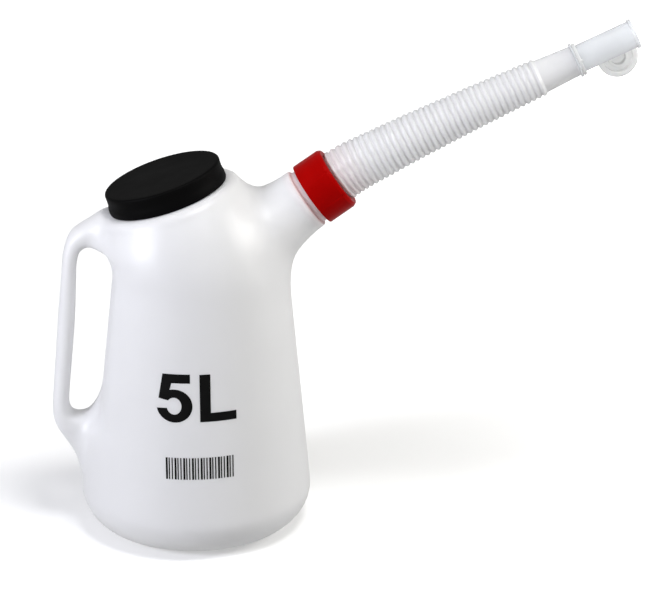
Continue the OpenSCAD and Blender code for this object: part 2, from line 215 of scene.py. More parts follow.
def axisFrame(origin, tilt):
    # z along a direction in the XZ plane, tilt degrees above the horizontal; x points down, y stays
    c, s = math.cos(math.radians(tilt)), math.sin(math.radians(tilt))
    return Matrix(((s, 0, c, origin[0]), (0, 1, 0, 0), (-c, 0, s, origin[1]), (0, 0, 0, 1)))


def placed(points, place):
    # points in millimetres, moved into a frame and turned into metres
    return (np.array(points) @ np.array(place.to_3x3()).T + np.array(place.translation)) * mm


def roundCorners(profile, radii, steps=4):
    # swaps each corner of an r, z profile for a short curve of about the given radius
    points = [np.array(p, float) for p in profile]
    made = []
    for i, (p, radius) in enumerate(zip(points, radii)):
        if radius <= 0:
            made.append(p)
            continue
        a, b = points[i - 1] - p, points[(i + 1) % len(points)] - p
        la, lb = np.linalg.norm(a), np.linalg.norm(b)
        a, b = a / la, b / lb
        half = math.acos(float(np.clip(a @ b, -1, 1))) / 2
        reach = min(radius / math.tan(half), 0.48 * la, 0.48 * lb)
        p0, p1 = p + a * reach, p + b * reach
        for k in range(steps + 1):
            u = k / steps
            made.append(p0 * (1 - u) ** 2 + p * 2 * u * (1 - u) + p1 * u ** 2)
    return made


def outward(piece):
    shape = bmesh.new()
    shape.from_mesh(piece.data)
    bmesh.ops.remove_doubles(shape, verts=shape.verts, dist=1e-7)
    bmesh.ops.recalc_face_normals(shape, faces=shape.faces)
    shape.to_mesh(piece.data)
    shape.free()
    return piece


def turnedPiece(name, profile, sides, place, material, smoothDeg=40):
    # a profile of r, z points turned about z and put in its place; points on the axis become poles
    points, faces, rows = [], [], []
    for r, z in profile:
        if r < 1e-6:
            rows.append([len(points)] * sides)
            points.append((0, 0, z))
        else:
            rows.append(list(range(len(points), len(points) + sides)))
            for k in range(sides):
                a = 2 * math.pi * k / sides
                points.append((r * math.cos(a), r * math.sin(a), z))
    for lower, upper in zip(rows, rows[1:] + rows[:1]):
        for k in range(sides):
            n = (k + 1) % sides
            face = [lower[k], lower[n], upper[n], upper[k]]
            face = [v for j, v in enumerate(face) if v != face[j - 1]]
            if len(face) > 2:
                faces.append(face)
    return outward(addPiece(name, placed(points, place), faces, material, smoothDeg))


def merged(name, pieces, material, smoothDeg):
    # several closed forms of one moulding, as one piece
    points, faces = [], []
    for piece in pieces:
        faces += [[len(points) + i for i in p.vertices] for p in piece.data.polygons]
        points += [v.co.copy() for v in piece.data.vertices]
        bpy.data.objects.remove(piece)
    return addPiece(name, points, faces, material, smoothDeg)


def cut(piece, other, way):
    step = piece.modifiers.new(way, "BOOLEAN")
    step.object = other
    step.operation = way
    step.solver = "MANIFOLD"
    result = evaluatedMesh(piece)
    piece.modifiers.clear()
    piece.data = result
    bpy.data.objects.remove(other)


# node trees, for the materials and for the shapes that repeat

class Graph:
    def __init__(self, tree):
        self.tree = tree

    def add(self, kind, sets=None, **links):
        node = self.tree.nodes.new(kind)
        for key, value in (sets or {}).items():
            setattr(node, key, value)
        for key, value in links.items():
            self.put(node.inputs[key.replace("_", " ")], value)
        return node

    def put(self, socket, value):
        # joins a socket to another node's, or sets its own value
        value = getattr(value, "socket", value)
        if isinstance(value, bpy.types.NodeSocket):
            self.tree.links.new(value, socket)
        else:
            socket.default_value = value

    def vector(self, operation, a, b=(0, 0, 0), **links):
        node = self.add("ShaderNodeVectorMath", {"operation": operation}, **links)
        self.put(node.inputs[0], a)
        self.put(node.inputs[1], b)
        return node.outputs


class Number:
    # a socket that can be reckoned with like a plain number; each step adds a node
    def __init__(self, graph, socket):
        self.graph = graph
        self.socket = socket

    def math(self, operation, *values):
        node = self.graph.add("ShaderNodeMath", {"operation": operation})
        for socket, value in zip(node.inputs, values):
            self.graph.put(socket, value)
        return Number(self.graph, node.outputs[0])

    def __add__(self, other):
        return self.math("ADD", self, other)

    def __sub__(self, other):
        return self.math("SUBTRACT", self, other)

    def __rsub__(self, other):
        return self.math("SUBTRACT", other, self)

    def __mul__(self, other):
        return self.math("MULTIPLY", self, other)

    def __truediv__(self, other):
        return self.math("DIVIDE", self, other)

    def __pow__(self, other):
        return self.math("POWER", self, other)

    def __gt__(self, other):
        return self.math("GREATER_THAN", self, other)

    def __lt__(self, other):
        return self.math("LESS_THAN", self, other)

    def __abs__(self):
        return self.math("ABSOLUTE", self)

    def __round__(self):
        return self.math("ROUND", self)

    def atMost(self, other):
        return self.math("MINIMUM", self, other)

    def atLeast(self, other):
        return self.math("MAXIMUM", self, other)


# materials

class Finish(Graph):
    def __init__(self, name):
        self.material = bpy.data.materials.new(name)
        self.material.use_nodes = True
        super().__init__(self.material.node_tree)
        self.shader = self.tree.nodes["Principled BSDF"]
        self.spot = self.add("ShaderNodeTexCoord").outputs["Object"]

    def noise(self, scale, detail=3, roughness=0.5):
        return self.add("ShaderNodeTexNoise", Vector=self.spot, Scale=scale, Detail=detail,
                        Roughness=roughness).outputs["Fac"]

    def ramp(self, value, stops):
        # each stop is a place and a colour, or a plain number for grey
        node = self.add("ShaderNodeValToRGB", Fac=value)
        while len(node.color_ramp.elements) < len(stops):
            node.color_ramp.elements.new(0.5)
        for element, (at, colour) in zip(node.color_ramp.elements, stops):
            element.position = at
            element.color = (*(colour if isinstance(colour, tuple) else (colour,) * 3), 1)
        return node.outputs["Color"]

    def range(self, value, low, high, fromLow=0.3, fromHigh=0.7):
        return self.add("ShaderNodeMapRange", Value=value, From_Min=fromLow, From_Max=fromHigh,
                        To_Min=low, To_Max=high).outputs["Result"]

    def along(self, origin, way, low, high):
        # 0 at low and 1 at high, in metres from the origin along a direction
        away = self.vector("SUBTRACT", self.spot, origin)["Vector"]
        return self.range(self.vector("DOT_PRODUCT", away, way)["Value"], 0, 1, low, high)

    def tint(self, share, colour, other):
        return self.add("ShaderNodeMix", {"data_type": "RGBA"}, Factor=share, A=colour,
                        B=(*other, 1)).outputs["Result"]

    def bump(self, height, distance, strength, under=None):
        node = self.add("ShaderNodeBump", Strength=strength, Distance=distance, Height=height)
        if under is not None:
            self.put(node.inputs["Normal"], under)
        return node.outputs["Normal"]

    def sets(self, **values):
        for key, value in values.items():
            self.put(self.shader.inputs[key.replace("_", " ")], value)
        return self.material


def jugPlastic():
    f = Finish("milkyJugPlastic")
    cloud, grain, waves = f.noise(9, 2), f.noise(900, 2), f.noise(28, 2)
    # beside the neck's root a painted red glow stands in for the red nut's light, reflected on and shining through the
    # pale plastic
    paintedNutGlow = f.ramp(f.along(neckAt, neckWay, -0.012, 0.006),
                   [(0.2, 0), (0.58, 0.14), (0.67, 0.6), (0.8, 0.32), (1.0, 0.36)])
    colour = f.tint(paintedNutGlow, f.ramp(cloud, [(0.3, 0.80), (0.7, 0.835)]), (0.82, 0.42, 0.42))
    # the mould's parting line runs round the middle
    side = f.vector("ABSOLUTE", f.spot)["Vector"]
    seam = f.range(f.vector("DOT_PRODUCT", side, (0, 1, 0))["Value"], 1, 0, 0.0001, 0.0006)
    normal = f.bump(grain, 0.00003, 0.35, f.bump(waves, 0.0006, 0.2, f.bump(seam, 0.00012, 0.7)))
    return f.sets(Base_Color=colour, Roughness=f.range(cloud, 0.34, 0.42), Normal=normal, IOR=1.5,
                  Subsurface_Weight=0.4, Subsurface_Radius=(0.014, 0.014, 0.013),
                  Subsurface_Scale=1.0)


def plastic(name, colours, rough, grain, depth, uneven, clouds=35, paintedNutGlowShare=0.0, **sockets):
    # a moulded plastic that wanders between two close colours, with a fine grain in its surface
    f = Finish(name)
    cloud = f.noise(clouds)
    colour = f.ramp(cloud, list(zip((0.3, 0.7), colours)))
    # a painted red glow near the neck's root, for the red nut's light shining through the plastic
    if paintedNutGlowShare > 0:
        paintedNutGlow = f.range(f.along(neckAt, neckWay, 0.06, 0.03), 0, paintedNutGlowShare, 0, 1)
        colour = f.tint(paintedNutGlow, colour, (0.85, 0.5, 0.5))
    return f.sets(Base_Color=colour, Roughness=f.range(cloud, *rough),
                  Normal=f.bump(f.noise(*grain), depth, uneven), **sockets)


def printInk():
    f = Finish("blackPrintInk")
    cloud = f.noise(120, 4)
    colour = f.ramp(cloud, [(0.3, (0.0012, 0.0012, 0.0013)), (0.75, (0.003, 0.0029, 0.0029))])
    return f.sets(Base_Color=colour, Roughness=f.range(cloud, 0.5, 0.6), IOR=1.5,
                  Specular_IOR_Level=0.1)


# the jug, in millimetres: three smooth skins that melt into each other like a blown moulding

jug = {
    "baseD": 190, "cornerR": 32, "shoulderD": 155, "shoulderZ": 222, "wall": 2.2,
    "shoulderBow": (0.26, 2.4), "shoulderLean": 1.3,
    "recessD": 98, "recessDepth": 2, "recessEdge": (0.8, 0.6), "recessMelt": 2.4, "recessTop": 12,
    "gripRecess": 12, "recessShares": (0.75, 1.05), "flatBlend": 8, "flatBelow": 28, "flatOver": 36,
    "flatEnd": (0.34, 0.6), "gapLowZ": 96, "gapHighZ": 241,
    "seatOffset": 18.3, "seatZ": 283, "seatTilt": 17.2, "seatD": 118, "seatEdgeR": 9, "seatLead": 15,
    "fillerD": 88, "fillerH": 14.6, "beadH": 3, "beadOut": 0.8,
    "neckD": 46.5, "neckTilt": 35, "neckOut": 16.1, "neckDrop": 4.6, "neckRootD": 52,
    "neckLen": 24, "neckWall": 2.4, "bandR": 23.3, "bandTop": 4.8, "tubeSides": 128,
    "sides": 144, "cornerStepDeg": 6, "wallRings": 40, "shoulderRings": 30, "edgeStepDeg": 7.5,
    "grid": 3.0, "gridLow": (-122.1, -99.3, -7.4), "gridHigh": (126, 99, 304), "coarse": 4,
    "nearShare": 0.9, "nearMore": 6, "evenShare": 0.6,
}

# the flare under the spout neck: its under and upper lines, its widths and its rounded lip
flare = {
    "height": 80, "melt": 11, "fromX": 5, "start": 5, "footIn": 8, "rise": (2.5, 30),
    "underTurn": 5, "underLead": 21, "overBack": [(46, 14), (29, 17)], "overLead": 15,
    "widths": [88, 84, 55], "lip": [(-4, 0), (-1.8, 0.4), (-0.7, 0.9), (0, 1.6)],
    "sides": 72, "rings": 34,
}
handle = {"out": 28.9, "thick": 13.6, "width": 28, "melt": 12, "toX": -30, "sides": 48, "bulge": 2.6,
          "ringsPerRow": 8}


def ease(u):
    t = np.clip(u, 0, 1)
    return t * t * (3 - 2 * t)


def mix(a, b, u):
    return a + (b - a) * u


def direction(tilt):
    return np.array([math.cos(math.radians(tilt)), math.sin(math.radians(tilt))])


def wallR(z):
    drop = (jug["baseD"] - jug["shoulderD"]) / 2
    return jug["baseD"] / 2 - drop * (z - jug["cornerR"]) / (jug["shoulderZ"] - jug["cornerR"])


def flatShare(z):
    return float(ease((z - jug["gapLowZ"] + jug["flatBelow"]) / jug["flatOver"]))


def flatX(z, share):
    along = (z - jug["gapLowZ"]) / (jug["gapHighZ"] - jug["gapLowZ"])
    depth = jug["gripRecess"] * mix(*jug["recessShares"], along)
    return -(wallR(z) + jug["flatBlend"]) + (jug["flatBlend"] + depth) * share


def bodyRing(r, x, z, tilt=0.0, share=0.0, limit=0.0):
    a = np.arange(jug["sides"]) * 2 * math.pi / jug["sides"]
    c, s = direction(tilt)
    p = r * np.cos(a)
    if share > 0:
        edge = (limit - x) / c
        p = (p + edge + np.sqrt((p - edge) ** 2 + (jug["flatBlend"] * share) ** 2)) / 2
    return np.stack([x + p * c, r * np.sin(a), z + p * s], 1)


def bodyRings():
    rings = []
    cornerR, seatEdge, tilt = jug["cornerR"], jug["seatEdgeR"], jug["seatTilt"]
    for a in np.radians(np.arange(0, 90, jug["cornerStepDeg"])):
        rings.append(bodyRing(jug["baseD"] / 2 - cornerR + cornerR * math.sin(a), 0,
                              cornerR - cornerR * math.cos(a)))
    for z in np.linspace(cornerR, jug["shoulderZ"], jug["wallRings"], endpoint=False):
        share = flatShare(z)
        rings.append(bodyRing(wallR(z), 0, z, 0, share, flatX(z, share)))
    up, side = math.cos(math.radians(tilt)), math.sin(math.radians(tilt))
    edgeX, edgeZ = -jug["seatOffset"] + seatEdge * side, jug["seatZ"] - seatEdge * up
    edgeStep = jug["edgeStepDeg"]
    # the shoulder runs into the seat's rounded edge a little way up it
    lead = math.radians(jug["seatLead"])
    endR, endRise = jug["seatD"] / 2 - seatEdge * (1 - math.cos(lead)), seatEdge * math.sin(lead)
    endX, endZ = edgeX - endRise * side, edgeZ + endRise * up
    straight, power = jug["shoulderBow"]
    flatFrom, flatOver = jug["flatEnd"]
    for u in np.linspace(0, 1, jug["shoulderRings"]):
        r = mix(jug["shoulderD"] / 2, endR, straight * u + (1 - straight) * u ** power)
        x = endX * u ** jug["shoulderLean"]
        share = float(1 - ease((u - flatFrom) / flatOver))
        limit = mix(x - r - jug["flatBlend"], flatX(jug["shoulderZ"], 1), share)
        rings.append(bodyRing(r, x, mix(jug["shoulderZ"], endZ, u), tilt * u, share, limit))
    for a in np.radians(np.arange(jug["seatLead"] + edgeStep, 91, edgeStep)):
        rise = seatEdge * math.sin(a)
        rings.append(bodyRing(jug["seatD"] / 2 - seatEdge + seatEdge * math.cos(a),
                              edgeX - rise * side, edgeZ + rise * up, tilt))
    return rings


def edgeRing(p, q, w, sides, bulge=2):
    # a ring between two points of the XZ plane; bulge 2 is an ellipse, more is squarer
    d = q - p
    long = np.linalg.norm(d)
    e, c = d / long, (p + q) / 2
    a = np.arange(sides) * 2 * math.pi / sides
    s = np.sign(np.cos(a)) * np.abs(np.cos(a)) ** (2 / bulge) * long / 2
    y = np.sign(np.sin(a)) * np.abs(np.sin(a)) ** (2 / bulge) * w / 2
    return np.stack([c[0] + e[0] * s, y, c[1] + e[1] * s], 1)


neckDir = direction(jug["neckTilt"])
neckUp = np.array([-neckDir[1], neckDir[0]])
neckRoot = np.array([jug["shoulderD"] / 2 + jug["neckOut"], jug["seatZ"] - jug["neckDrop"]])
onNeck = axisFrame(neckRoot, jug["neckTilt"])
onSeat = axisFrame((-jug["seatOffset"], jug["seatZ"]), 90 + jug["seatTilt"])
# the neck's root and direction in metres, for the materials
neckAt, neckWay = (neckRoot[0] * mm, 0, neckRoot[1] * mm), (neckDir[0], 0, neckDir[1])


def bezier(p, u):
    return (p[0] * (1 - u) ** 3 + p[1] * 3 * u * (1 - u) ** 2
            + p[2] * 3 * u ** 2 * (1 - u) + p[3] * u ** 3)


def flareRings():
    half, low = jug["neckRootD"] / 2, neckRoot[1] - flare["height"]
    start = neckRoot - neckDir * flare["start"]
    lowEnd, highEnd = start - neckUp * half, start + neckUp * half
    inward, rise = flare["rise"]
    under = [np.array([wallR(low) - flare["footIn"], low]), np.array([wallR(low) - inward, low + rise]),
             lowEnd - direction(jug["neckTilt"] + flare["underTurn"]) * flare["underLead"], lowEnd]
    over = [*(highEnd - back for back in flare["overBack"]), highEnd - neckDir * flare["overLead"],
            highEnd]
    widths = [*flare["widths"], jug["neckRootD"]]
    rings = [edgeRing(bezier(over, u), bezier(under, u), bezier(widths, u), flare["sides"])
             for u in np.linspace(0, 1, flare["rings"])]
    for out, less in flare["lip"]:
        c, r = neckRoot + neckDir * out, half - less
        rings.append(edgeRing(c + neckUp * r, c - neckUp * r, 2 * r, flare["sides"]))
    return rings


def handleRings():
    top, low, out, w = jug["gapHighZ"], jug["gapLowZ"], handle["out"], handle["width"]
    hand = out - handle["thick"]
    # in each row: outer edge's stand-off and height, inner edge's stand-off and height, width
    plan = [
        (-25, top + 29, -30, top - 30, w + 6), (-11.4, top + 27, -15, top - 14, w + 4),
        (-2.3, top + 27.5, -7, top - 5, w + 3), (3.5, top + 25.5, 0.7, top - 0.5, w + 2),
        (14, top + 19.5, 8.2, top + 0.5, w + 1), (out - 5.3, top + 11, hand - 1, top - 4, w),
        (out - 1, top - 4, hand + 1, top - 15, w), (out - 0.5, top - 23, hand + 0.6, top - 30, w),
        (out, top - 60, hand - 0.3, top - 62, w), (out, low + 45, hand, low + 45, w),
        (out, low + 12, hand + 0.4, low + 16, w), (out - 1, low, hand - 1, low + 5, w),
        (out - 5, low - 10.5, 10.4, low + 0.5, w + 1), (16, low - 22, 4.9, low, w + 1),
        (7.2, low - 35, -2, low + 2, w + 2), (-1.7, low - 50, -9, low + 9, w + 3),
        (-10.3, low - 56, -18, low + 18, w + 4),
    ]
    stations = np.array([(-wallR(s[1]) - s[0], s[1], -wallR(s[3]) - s[2], s[3], s[4]) for s in plan])
    last, rings = len(stations) - 1, []
    for u in np.linspace(0, last, handle["ringsPerRow"] * last + 1):
        i = min(int(u), last - 1)
        t = u - i
        a, b, c, d = (stations[k] for k in (max(i - 1, 0), i, i + 1, min(i + 2, last)))
        s = (b + (c - a) * t / 2 + (a * 2 - b * 5 + c * 4 - d) * t * t / 2
             + (b * 3 - a - c * 3 + d) * t ** 3 / 2)
        rings.append(edgeRing(s[2:4], s[0:2], s[4], handle["sides"], handle["bulge"]))
    return rings


def unit(rows):
    return rows / np.maximum(np.linalg.norm(rows, axis=-1, keepdims=True), 1e-12)


def makeSkin(rings):
    # a closed skin through the rings, ready to tell how far any point is from it
    n, rows, points = len(rings[0]), len(rings), np.concatenate(rings)
    i, k = np.arange(n), (np.arange(n) + 1) % n
    quads = np.concatenate([np.stack([j * n + i, j * n + k, (j + 1) * n + k, (j + 1) * n + i], 1)
                            for j in range(rows - 1)])
    ends = [i[::-1], (rows - 1) * n + i]
    normals = unit(np.cross(points[quads[:, 2]] - points[quads[:, 0]],
                            points[quads[:, 3]] - points[quads[:, 1]]))
    middle = points[quads].mean(1)
    if ((middle - middle.mean(0)) * normals).sum() < 0:
        quads, ends, normals = quads[:, ::-1], [e[::-1] for e in ends], -normals
    endNormals = [unit(np.cross(points[e], points[np.roll(e, -1)]).sum(0)) for e in ends]
    tree = BVHTree.FromPolygons([Vector(p) for p in points],
                                [q.tolist() for q in quads] + [e.tolist() for e in ends])
    # at a sharp rim one face's normal can't tell inside from outside, so the two sides are summed
    lean = np.concatenate([normals, endNormals])
    lean[:n] += endNormals[0]
    lean[len(quads) - n:len(quads)] += endNormals[1]
    rims = [(len(quads), middle[:n], normals[:n] + endNormals[0]),
            (len(quads) + 1, middle[-n:], normals[-n:] + endNormals[1])]
    return {"tree": tree, "normals": np.concatenate([normals, endNormals]), "lean": lean,
            "rims": rims}


def skinDistance(skin, points):
    near, index = np.empty((len(points), 3)), np.empty(len(points), int)
    find = skin["tree"].find_nearest
    for i, p in enumerate(points.tolist()):
        hit = find(p)
        near[i], index[i] = hit[0], hit[2]
    lean = skin["lean"][index]
    for face, rim, sums in skin["rims"]:
        at = np.nonzero(index == face)[0]
        if len(at):
            gap = ((near[at][:, None] - rim[None]) ** 2).sum(2)
            lean[at] = sums[gap.argmin(1)]
    away = points - near
    far = np.linalg.norm(away, axis=1)
    side = np.where((away * lean).sum(1) >= 0, 1.0, -1.0)
    slope = np.where((far > 0.02)[:, None], away * (side / np.maximum(far, 1e-9))[:, None],
                     skin["normals"][index])
    return side * far, slope


def melt(a, b, k):
    # the smooth union of two fields; k is how far apart they start to melt together
    h = np.clip(0.5 + 0.5 * (b[0] - a[0]) / k, 0, 1)
    return (b[0] * (1 - h) + a[0] * h - k * h * (1 - h),
            b[1] * (1 - h)[:, None] + a[1] * h[:, None])


def recessField(points):
    # inside a shallow round recess in the underside, with a sloping edge
    r = np.hypot(points[:, 0], points[:, 1])
    flat, up = jug["recessEdge"]
    side = (r - jug["recessD"] / 2) * flat + points[:, 2] * up
    roof = points[:, 2] - jug["recessDepth"]
    ring = np.stack([points[:, 0], points[:, 1], 0 * r], 1) / np.maximum(r, 1e-6)[:, None]
    slope = np.where((side > roof)[:, None], ring * flat + (0, 0, up), np.array([[0, 0, 1.0]]))
    return np.maximum(side, roof), slope


def jugField(skins, points):
    # how far points are from the jug's outer surface, less than 0 inside, and the way off it
    far, slope = skinDistance(skins[0], points)
    low = points[:, 2] < jug["recessTop"]
    if low.any():
        lifted = melt((-far[low], -slope[low]), recessField(points[low]), jug["recessMelt"])
        far[low], slope[low] = -lifted[0], -lifted[1]
    for skin, form, keep in ((skins[1], flare, points[:, 0] > flare["fromX"]),
                             (skins[2], handle, points[:, 0] < handle["toX"])):
        near = melt((far[keep], slope[keep]), skinDistance(skin, points[keep]), form["melt"])
        far[keep], slope[keep] = near
    return far, slope


def surfaceNet(values, level, origin, step):
    # four-sided faces where the values cross a level, one point in each cell that is crossed
    inside = values < level
    shape = np.array(values.shape) - 1

    def corner(grid, d):
        return grid[d[0]:d[0] + shape[0], d[1]:d[1] + shape[1], d[2]:d[2] + shape[2]]

    corners = [(x, y, z) for x in (0, 1) for y in (0, 1) for z in (0, 1)]
    count = sum(corner(inside, d).astype(int) for d in corners)
    mixed = (count > 0) & (count < 8)
    cells = np.argwhere(mixed)
    total, crossings = np.zeros((len(cells), 3)), np.zeros(len(cells))
    for axis in range(3):
        for d in corners:
            if d[axis]:
                continue
            e = list(d)
            e[axis] = 1
            a = corner(values, d)[mixed] - level
            b = corner(values, e)[mixed] - level
            hit = (a < 0) != (b < 0)
            share = np.where(hit, a / np.where(hit, a - b, 1), 0)
            at = np.array(d, float) + share[:, None] * np.eye(3)[axis]
            total[hit] += at[hit]
            crossings[hit] += 1
    points = (cells + total / crossings[:, None]) * step + origin
    index = np.full(mixed.shape, -1)
    index[mixed] = np.arange(len(cells))
    quads = []
    for axis in range(3):
        u, v = (axis + 1) % 3, (axis + 2) % 3
        a = np.moveaxis(inside, (axis, u, v), (0, 1, 2))
        grid = np.moveaxis(index, (axis, u, v), (0, 1, 2))
        change = a[:-1, 1:-1, 1:-1] != a[1:, 1:-1, 1:-1]
        i, j, k = np.nonzero(change)
        quad = np.stack([grid[i, j, k], grid[i, j + 1, k], grid[i, j + 1, k + 1], grid[i, j, k + 1]], 1)
        flip = ~a[:-1, 1:-1, 1:-1][i, j, k]
        quad[flip] = quad[flip][:, ::-1]
        quads.append(quad)
    return points, np.concatenate(quads)


def relax(points, quads, field, level):
    # evens the mesh out along the surface, and puts each point back on it
    edges = np.concatenate([quads[:, [i, (i + 1) % 4]] for i in range(4)])
    count = np.bincount(edges.ravel(), minlength=len(points))[:, None]
    for _ in range(2):
        total = np.zeros_like(points)
        for axis in range(3):
            total[:, axis] = (np.bincount(edges[:, 0], points[edges[:, 1], axis], len(points))
                              + np.bincount(edges[:, 1], points[edges[:, 0], axis], len(points)))
        points = mix(points, total / count, jug["evenShare"])
        for _ in range(2):
            value, slope = field(points)
            length = np.maximum((slope ** 2).sum(1), 0.3)
            points = points - slope * ((value - level) / length)[:, None]
    return points


def jugGrid(skins):
    # the field on a fine grid: reckoned near the surface, and copied from a coarse grid elsewhere
    step, stride = jug["grid"], jug["coarse"]
    low, high = np.array(jug["gridLow"]), np.array(jug["gridHigh"])
    cells = np.ceil((high - low) / step / stride).astype(int)
    coarse = low + step * stride * np.argwhere(np.ones(cells + 1))
    values = jugField(skins, coarse)[0].reshape(cells + 1)
    for axis in range(3):
        values = np.repeat(values, stride, axis)
    fine = cells * stride + 1
    values = values[stride // 2:, stride // 2:, stride // 2:][:fine[0], :fine[1], :fine[2]]
    band = np.abs(values) < step * stride * jug["nearShare"] + jug["nearMore"]
    near = low + step * np.argwhere(band)
    values[band] = jugField(skins, near)[0]
    print("jug: field of", len(near), "points")
    return values


def makeJug():
    skins = [makeSkin(rings()) for rings in (bodyRings, flareRings, handleRings)]
    values, walls = jugGrid(skins), []
    for level in (0.0, -jug["wall"]):
        points, quads = surfaceNet(values, level, np.array(jug["gridLow"]), jug["grid"])
        points = relax(points, quads, lambda p: jugField(skins, p), level)
        walls.append(addPiece("jugSkin", points * mm, quads, finishes["jug"]))
    outer, inner = walls
    top, fillerR, wall = jug["fillerH"], jug["fillerD"] / 2, jug["wall"]
    bandR, end, mouthR = jug["bandR"], jug["neckLen"], fillerR + jug["beadOut"]
    threadRoot, collarR = jug["neckD"] / 2 - spoutThread["neck"]["ridge"], jug["neckRootD"] / 2
    filler = roundCorners([(0, -0.8), (fillerR, -0.8), (fillerR, top - jug["beadH"] - 0.6),
                           (mouthR, top - jug["beadH"]), (mouthR, top), (0, top)],
                          [0, 0, 0.3, 0.6, 0.8, 0])
    collar = roundCorners([(0, -5.5), (collarR - 0.1, -5.5), (collarR + 0.06, -4),
                           (collarR - 0.2, 0), (0, 0)], [0, 0, 0, 2.0, 0])
    neckTube = roundCorners([(0, -6), (bandR, -6), (bandR, jug["bandTop"]),
                             (threadRoot, jug["bandTop"] + 0.5), (threadRoot, end), (0, end)],
                            [0, 0, 0.4, 0.2, 0.6, 0])
    fillerBore = [(0, -wall - 2), (fillerR - wall, -wall - 2), (fillerR - wall, top + 5), (0, top + 5)]
    boreR = jug["neckD"] / 2 - jug["neckWall"]
    neckBore = [(0, -8), (boreR, -8), (boreR, end + 5), (0, end + 5)]
    for skin, profile, place in ((outer, filler, onSeat), (outer, collar, onNeck),
                                 (outer, neckTube, onNeck), (inner, fillerBore, onSeat),
                                 (inner, neckBore, onNeck)):
        tube = turnedPiece("tube", profile, jug["tubeSides"], place, finishes["jug"])
        cut(skin, tube, "UNION")
    cut(outer, inner, "DIFFERENCE")
    return finished("jugShell", outer, finishes["jug"], 38)


# the screw thread, inside the nut and on the neck: five millimetres a turn

spoutThread = {
    "pitch": 5.0, "width": 2.4, "crestShare": 0.35, "tipShare": 0.08, "growth": 12.0, "steps": 64,
    "neck": {"radius": 22.75, "low": 7.0, "turns": 3.0, "ridge": 1.05, "startDeg": 0},
    "nut": {"radius": 23.3, "low": 9.0, "turns": 2.5, "ridge": 1.0, "startDeg": 324},
}


class ShapeTree(Graph):
    # a Geometry Nodes tree with an input for each size, and one for the material
    def __init__(self, name, **sizes):
        super().__init__(bpy.data.node_groups.new(name, "GeometryNodeTree"))
        kinds = {label: "Int" if isinstance(size, int) else "Float" for label, size in sizes.items()}
        for way, rows in (("INPUT", {"Geometry": "Geometry", **kinds, "Material": "Material"}),
                          ("OUTPUT", {"Geometry": "Geometry"})):
            for label, kind in rows.items():
                socket = self.tree.interface.new_socket(name=label, in_out=way,
                                                        socket_type="NodeSocket" + kind)
                if label in sizes:
                    socket.default_value = sizes[label]
        self.start = self.add("NodeGroupInput")

    def __getitem__(self, label):
        return Number(self, self.start.outputs[label])

    def end(self, geometry):
        real = self.add("GeometryNodeRealizeInstances", Geometry=geometry)
        paint = self.add("GeometryNodeSetMaterial", Geometry=real.outputs[0],
                         Material=self["Material"])
        self.put(self.add("NodeGroupOutput").inputs[0], paint.outputs[0])
        return self.tree


def runTree(name, data, tree, material, sizes, **counts):
    # runs a node tree on an object and keeps the result as a plain mesh; the sizes are in millimetres
    values = {label: size * mm for label, size in sizes.items()} | counts | {"Material": material}
    carrier = bpy.data.objects.new(name, data)
    scene.collection.objects.link(carrier)
    step = carrier.modifiers.new(name, "NODES")
    step.node_group = tree
    for item in tree.interface.items_tree:
        if item.in_out == "INPUT" and item.name in values:
            step[item.identifier] = values[item.name]
    mesh = evaluatedMesh(carrier)
    bpy.data.objects.remove(carrier)
    return mesh


def threadTree():
    n = ShapeTree("screwThread", radius=0.022, pitch=0.005, turns=3.0, ridge=0.001, width=0.002)
    spiral = n.add("GeometryNodeCurveSpiral", Resolution=spoutThread["steps"], Rotations=n["turns"],
                   Start_Radius=n["radius"], End_Radius=n["radius"], Height=n["pitch"] * n["turns"])
    ridge = n.add("GeometryNodeCurvePrimitiveQuadrilateral", {"mode": "TRAPEZOID"},
                  Height=n["ridge"], Bottom_Width=n["width"],
                  Top_Width=n["width"] * spoutThread["crestShare"], Offset=0.0)
    # the ridge shrinks to a small tip over a short way at both ends of the helix
    along = Number(n, n.add("GeometryNodeSplineParameter").outputs["Factor"])
    fromEnd = along.atMost(1.0 - along)
    size = (fromEnd * spoutThread["growth"] + spoutThread["tipShare"]).atMost(1.0)
    upright = n.add("GeometryNodeSetCurveNormal", {"mode": "Z_UP"}, Curve=spiral.outputs[0])
    shrunk = n.add("GeometryNodeSetCurveRadius", Curve=upright.outputs[0], Radius=size)
    sweep = n.add("GeometryNodeCurveToMesh", Curve=shrunk.outputs[0],
                  Profile_Curve=ridge.outputs[0], Fill_Caps=True)
    return n.end(sweep.outputs[0])


def makeThread(name, thread, material):
    mesh = runTree(name, bpy.data.meshes.new(name), threadTree(), material,
                   {"radius": thread["radius"], "pitch": spoutThread["pitch"],
                    "ridge": thread["ridge"], "width": spoutThread["width"]}, turns=thread["turns"])
    lift = Matrix.Rotation(math.radians(thread["startDeg"]), 4, "Z")
    lift.translation = (0, 0, thread["low"] * mm)
    place = onNeck.copy()
    place.translation = place.translation * mm
    mesh.transform(place @ lift)
    return outward(finishPiece(name, mesh, material, 35))


# the hose: one corrugated tube along a slightly bent path

hose = {
    "flangeD": 46.5, "flangeT": 2.4, "footD": 43.5, "endD": 31, "wall": 1.2, "pitch": 4.75,
    "ribDepth": 1.8, "ribCount": 38, "valleyPower": 1.7, "cuffLen": 30, "cuffD": 24.4,
    "boreR": 11.18, "boreLen": 20.5, "foot": 24.0, "firstCrest": 32.55,
    # the rib at the middle of each bend, and its degrees; a bend is spread over a few ribs
    "bends": [(1, 2.4), (2, 2.4), (3, 2.2), (4, 1.2), (14, 1.2), (26, 0.8)], "bendSpread": 2.4,
    "sides": 56, "stepsPerRib": 12, "pathStepsPerRib": 4, "stillRibs": (4, 2),
}


